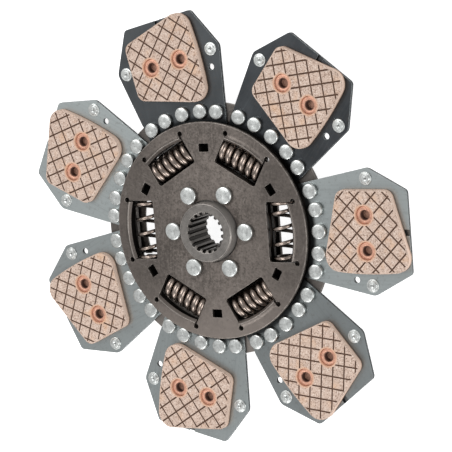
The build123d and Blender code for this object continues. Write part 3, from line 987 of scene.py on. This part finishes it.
class OBJECT_OT_inner_rings(bpy.types.Operator):
    """Give the hidden friction and thrust rings their finishes"""

    bl_idname = "clutch_disc.inner_rings"
    bl_label = "Inner rings"

    def execute(self, context):
        damper = context.scene.disc_damper
        friction = moulded_friction("moulded_friction_ring")
        steel = phosphated_plate("stamped_ring_steel", shade(damper.carrier_colour, 1.2), damper)
        for side in SIDES:
            coat_mesh(frame["nodes"][side + "_friction_ring"].data, friction)
            coat_mesh(frame["nodes"][side + "_thrust_ring"].data, steel)
        coat_mesh(frame["nodes"]["disc_spring"].data, steel)
        return {"FINISHED"}


class OBJECT_OT_paddle_sheets(bpy.types.Operator):
    """Dress both spring-steel sheets of the seven paddles"""

    bl_idname = "clutch_disc.paddle_sheets"
    bl_label = "Paddle sheets"

    def execute(self, context):
        paddles = context.scene.disc_paddles
        strip = spring_strip("rolled_spring_strip", paddles)
        for side, index, back, node in paddle_nodes("sheet"):
            mesh = eased_mesh(node, paddles.edge)
            paint(mesh, "along", [back @ vert.co for vert in mesh.vertices])
            reflection_tone = PADDLE_REFLECTION_TONES[index] * (1.0 if side == "front" else REAR_REFLECTION_TONE)
            paint(mesh, "reflection_tone", [reflection_tone] * len(mesh.vertices))
            dress(node, f"{side}_paddle_{index + 1}", mesh, strip)
        return {"FINISHED"}


class OBJECT_OT_linings(bpy.types.Operator):
    """Dress the fourteen grooved linings"""

    bl_idname = "clutch_disc.linings"
    bl_label = "Friction linings"

    def execute(self, context):
        sinter = sintered_bronze("sintered_bronze_lining", context.scene.disc_paddles)
        # Heights above the paddle's middle: between these two a point is on a groove's floor,
        # which gets painted shade
        face = LINING_TOP - PADDLE_MIDDLE
        low, high = face - 1.0, face - 0.6
        foot = face - 3.4
        for side, index, back, node in paddle_nodes("pad"):
            mesh = joined_skin(node, join_flat=False)
            smooth(mesh, 30)
            heights = [abs(vert.co.z / MM - PADDLE_MIDDLE) for vert in mesh.vertices]
            paint(mesh, "shade_and_grime", [float(low < height < high) for height in heights])
            paint(mesh, "rim", [float(height < foot) for height in heights])
            paint(mesh, "along", [back @ vert.co for vert in mesh.vertices])
            dress(node, f"{side}_lining_{index + 1}", mesh, sinter)
        return {"FINISHED"}


class OBJECT_OT_backing_plates(bpy.types.Operator):
    """Dress the copper-plated backing plates under the linings"""

    bl_idname = "clutch_disc.backing_plates"
    bl_label = "Backing plates"

    def execute(self, context):
        paddles = context.scene.disc_paddles
        copper = copper_metal("copper_plated_backing", paddles.backing_colour, 0.62)
        for side in SIDES:
            mesh = eased_mesh(side + "_backing_plates", paddles.backing_edge)
            dress(side + "_backing_plates", side + "_backings", mesh, copper)
        return {"FINISHED"}


class OBJECT_OT_rim_rivets(bpy.types.Operator):
    """Set the thirty-five domed rivets that hold the paddles"""

    bl_idname = "clutch_disc.rim_rivets"
    bl_label = "Rim rivets"

    def execute(self, context):
        turns = [paddle_turn(index) - angle for index in range(PADDLES) for angle in RIM_ANGLES]
        seats = [(*around_axis(0, RIM_CIRCLE, turn), 0) for turn in turns]
        ends = {"head": 6.15, "head_height": 3.6, "tail": 5.6, "tail_height": 3.0}
        profile = headed_profile(3.5, CARRIER_BOTTOM, SHEET_TOP, grime=0.13, **ends)
        rivet_piece("rim_rivet_heads", "rim_rivets", profile, 48, seats)
        return {"FINISHED"}


class OBJECT_OT_hub_rivets(bpy.types.Operator):
    """Set the six big rivets that tie the covers to the hub"""

    bl_idname = "clutch_disc.hub_rivets"
    bl_label = "Hub rivets"

    def execute(self, context):
        turns = [WINDOW_PITCH * index for index in range(WINDOWS)]
        seats = [(*around_axis(HUB_CIRCLE, 0, turn), 0) for turn in turns]
        ends = {"head": 7.1, "head_height": 3.8, "tail": 7.1, "tail_height": 3.7}
        profile = headed_profile(4.5, COVER_REAR, COVER_TOP, grime=0.0, **ends)
        rivet_piece("hub_rivet_heads", "hub_rivets", profile, 56, seats)
        return {"FINISHED"}


class OBJECT_OT_side_rivets(bpy.types.Operator):
    """Set the small stepped rivets at the sides of each paddle"""

    bl_idname = "clutch_disc.side_rivets"
    bl_label = "Side rivets"

    def execute(self, context):
        seat = 1.45
        rim = seat + 0.8
        crown = seat + 1.5
        # From the dimple over the crown, its step and the rim to the shank and the collar
        # The third number of a point is painted shade, deepest in the dimple and on the seat
        upper = [(0, crown - 0.5, 0.9), (0.9, crown - 0.35, 0.65), (1.3, crown - 0.06, 0.12)]
        upper += [(1.7, crown), *arc((3.3, crown - 0.35), 0.35, 90, 0, 4)]
        upper += [(3.75, rim + 0.12, 0.15), (3.95, rim, 0.2), (4.35, rim)]
        upper += [*arc((4.95, rim - 0.35), 0.35, 90, 0, 4), (5.3, seat + 0.12, 0.3)]
        upper += [(5.18, seat, 1.0), (2.6, seat, 1.0), (2.6, 0.45, 1.0), (4.2, 0.45, 1.0)]
        profile = upper + mirrored(upper)
        seats = paddle_seats(SIDE_OFFSET, SIDE_REACH)
        rivet_piece("side_rivet_heads", "side_rivets", profile, 44, seats)
        return {"FINISHED"}


class OBJECT_OT_pad_rivets(bpy.types.Operator):
    """Set the tubular copper rivets that hold the lining pairs"""

    bl_idname = "clutch_disc.pad_rivets"
    bl_label = "Pad rivets"

    def execute(self, context):
        seat = LINING_TOP - RIVET_RECESS - PADDLE_MIDDLE
        lip = seat + 0.9
        # Both ends are drilled, and a web is left in the middle of the rivet
        # The third number of a point is painted shade, deepest down the bore and on the seat
        upper = [(0, 0.4, 0.3), (2.9, 0.4, 0.4), (3.4, 0.9, 0.9), (3.4, seat - 2.2, 0.95)]
        upper += [(3.5, seat - 0.8, 0.95), (3.8, seat + 0.1, 0.8), (4.2, seat + 0.6, 0.25)]
        upper += [(4.75, lip - 0.02), (5.3, lip), (6.2, lip - 0.04)]
        upper += arc((6.7, seat + 0.45), 0.35, 70, -60, 6)
        upper += [(6.7, seat, 0.2), (4.8, seat, 1.0), (4.8, 0.0, 1.0)]
        profile = upper + mirrored(upper)[1:]
        paddles = context.scene.disc_paddles
        copper = copper_metal("annealed_copper_tube", paddles.copper_colour, 0.46)
        seats = paddle_seats(PAD_OFFSET, PAD_REACH)
        rivet_piece("tubular_rivets", "pad_rivets", profile, 48, seats, copper)
        return {"FINISHED"}


class OBJECT_OT_stage(bpy.types.Operator):
    """Set the pale floor, the soft lights and the camera"""

    bl_idname = "clutch_disc.stage"
    bl_label = "Stage"

    def execute(self, context):
        scene = context.scene
        scene.view_settings.view_transform = "Standard"
        low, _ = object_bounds()
        self.add_floor(low.z)
        self.add_world(scene)
        for lamp in LAMPS:
            self.add_lamp(*lamp)
        self.add_camera(scene)
        return {"FINISHED"}

    def add_floor(self, level):
        """A wide pale sheet that glows a little to the camera and keeps a soft shadow."""
        corners = ((-1, -1), (1, -1), (1, 1), (-1, 1))
        points = [(x * FLOOR_REACH, y * FLOOR_REACH, level) for x, y in corners]
        mesh = bpy.data.meshes.new("floor")
        mesh.from_pydata(points, [], [(0, 1, 2, 3)])
        material, tree, _ = begin_material("pale_floor")
        path = add(tree, "ShaderNodeLightPath")
        direct = ("MAXIMUM", path["Is Camera Ray"], path["Is Glossy Ray"])
        seen = ("MAXIMUM", direct, path["Is Transmission Ray"])
        strength = worked_out(tree, (seen, "*", FLOOR_GLOW))
        matt = add(tree, "ShaderNodeBsdfDiffuse", {"Color": (0.8, 0.8, 0.8, 1.0)})["BSDF"]
        glow = {"Color": (1, 1, 1, 1), "Strength": strength}
        glow = add(tree, "ShaderNodeEmission", glow)["Emission"]
        both = add(tree, "ShaderNodeAddShader", [matt, glow])["Shader"]
        add(tree, "ShaderNodeOutputMaterial", [both])
        mesh.materials.append(material)
        linked("floor", mesh)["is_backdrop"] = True

    def add_world(self, scene):
        """Even pale light from all round, and white behind the disc."""
        world = bpy.data.worlds.new("studio")
        world.use_nodes = True
        tree = world.node_tree
        tree.nodes.clear()
        seen = add(tree, "ShaderNodeLightPath")["Is Camera Ray"]
        strength = worked_out(tree, (seen, 0.0, 1.0, WORLD_LIGHT, 1.0))
        light = add(tree, "ShaderNodeBackground", {"Color": (1, 1, 1, 1), "Strength": strength})
        add(tree, "ShaderNodeOutputWorld", [light["Background"]])
        scene.world = world

    def add_lamp(self, name, place, target, size, power):
        lamp = bpy.data.lights.new(name, "AREA")
        lamp.shape = "DISK"
        lamp.size = size
        lamp.energy = power
        holder = linked(name, lamp)
        holder.location = place
        look = Vector(target) - Vector(place)
        holder.rotation_euler = look.to_track_quat("-Z", "Y").to_euler()

    def add_camera(self, scene):
        lens = bpy.data.cameras.new("camera")
        lens.sensor_width = CAMERA_SENSOR
        lens.lens = CAMERA_LENS
        back = Vector(CAMERA_BACK).normalized()
        up = back.cross(Vector(CAMERA_RIGHT)).normalized()
        turn = Matrix((up.cross(back), up, back)).transposed().to_4x4()
        scene.camera = linked("camera", lens)
        scene.camera.matrix_world = Matrix.Translation(CAMERA_PLACE) @ turn


class VIEW3D_PT_clutch_disc(bpy.types.Panel):
    bl_label = "Clutch disc"
    bl_idname = "VIEW3D_PT_clutch_disc"
    bl_space_type = "VIEW_3D"
    bl_region_type = "UI"
    bl_category = "Clutch disc"

    def draw(self, context):
        layout = self.layout
        for group in GROUPS:
            settings = getattr(context.scene, group)
            for name in settings.__annotations__:
                layout.prop(settings, name)
        for operator in OPERATORS:
            layout.operator(operator.bl_idname)


GROUPS = {
    "disc_damper": DamperSettings,
    "disc_paddles": PaddleSettings,
    "disc_rivets": RivetSettings,
}

OPERATORS = (
    OBJECT_OT_cover_plates,
    OBJECT_OT_hub,
    OBJECT_OT_carrier,
    OBJECT_OT_damper_springs,
    OBJECT_OT_inner_rings,
    OBJECT_OT_paddle_sheets,
    OBJECT_OT_linings,
    OBJECT_OT_backing_plates,
    OBJECT_OT_rim_rivets,
    OBJECT_OT_hub_rivets,
    OBJECT_OT_side_rivets,
    OBJECT_OT_pad_rivets,
    OBJECT_OT_stage,
)


def register():
    for name, group in GROUPS.items():
        bpy.utils.register_class(group)
        setattr(bpy.types.Scene, name, bpy.props.PointerProperty(type=group))
    for operator in OPERATORS:
        bpy.utils.register_class(operator)
    bpy.utils.register_class(VIEW3D_PT_clutch_disc)


def unregister():
    bpy.utils.unregister_class(VIEW3D_PT_clutch_disc)
    for operator in reversed(OPERATORS):
        bpy.utils.unregister_class(operator)
    for name, group in GROUPS.items():
        delattr(bpy.types.Scene, name)
        bpy.utils.unregister_class(group)


def main():
    register()
    for operator in OPERATORS:
        getattr(bpy.ops.clutch_disc, operator.bl_idname.split(".")[1])()


if __name__ == "__main__":
    main()
